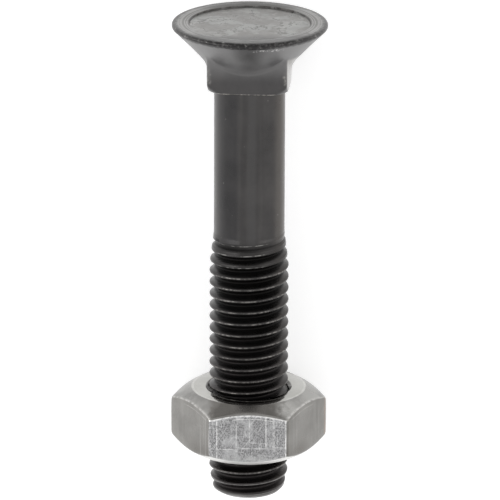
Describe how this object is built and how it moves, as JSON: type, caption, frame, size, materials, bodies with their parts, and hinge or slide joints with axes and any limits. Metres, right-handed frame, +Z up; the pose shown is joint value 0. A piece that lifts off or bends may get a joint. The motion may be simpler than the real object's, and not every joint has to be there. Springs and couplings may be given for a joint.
{
  "type": "plow bolt",
  "caption": "Flat countersunk bolt with a short square neck, plain shank and rolled thread, lying on its side with a chamfered hex nut part way up the thread.",
  "frame": {"origin": "on the ground, under the middle of the part's length and width", "axes": "+Y towards the head along the bolt, which falls 1.16 degrees towards its tail, +X across it, +Z up"},
  "size_m": [0.0196, 0.0608, 0.0191],
  "materials": {
    "dark_steel": "dark satin",
    "plain_steel": "satin"
  },
  "bodies": {
    "bolt": {"plow_bolt": "dark_steel"},
    "nut": {"hex_nut": "plain_steel"}
  },
  "joints": [
    {"name": "nut_travel", "type": "slide", "parent": "bolt", "child": "nut", "axis": [0, -0.9998, -0.0203], "range_m": [-0.0165, 0.0135]}
  ]
}
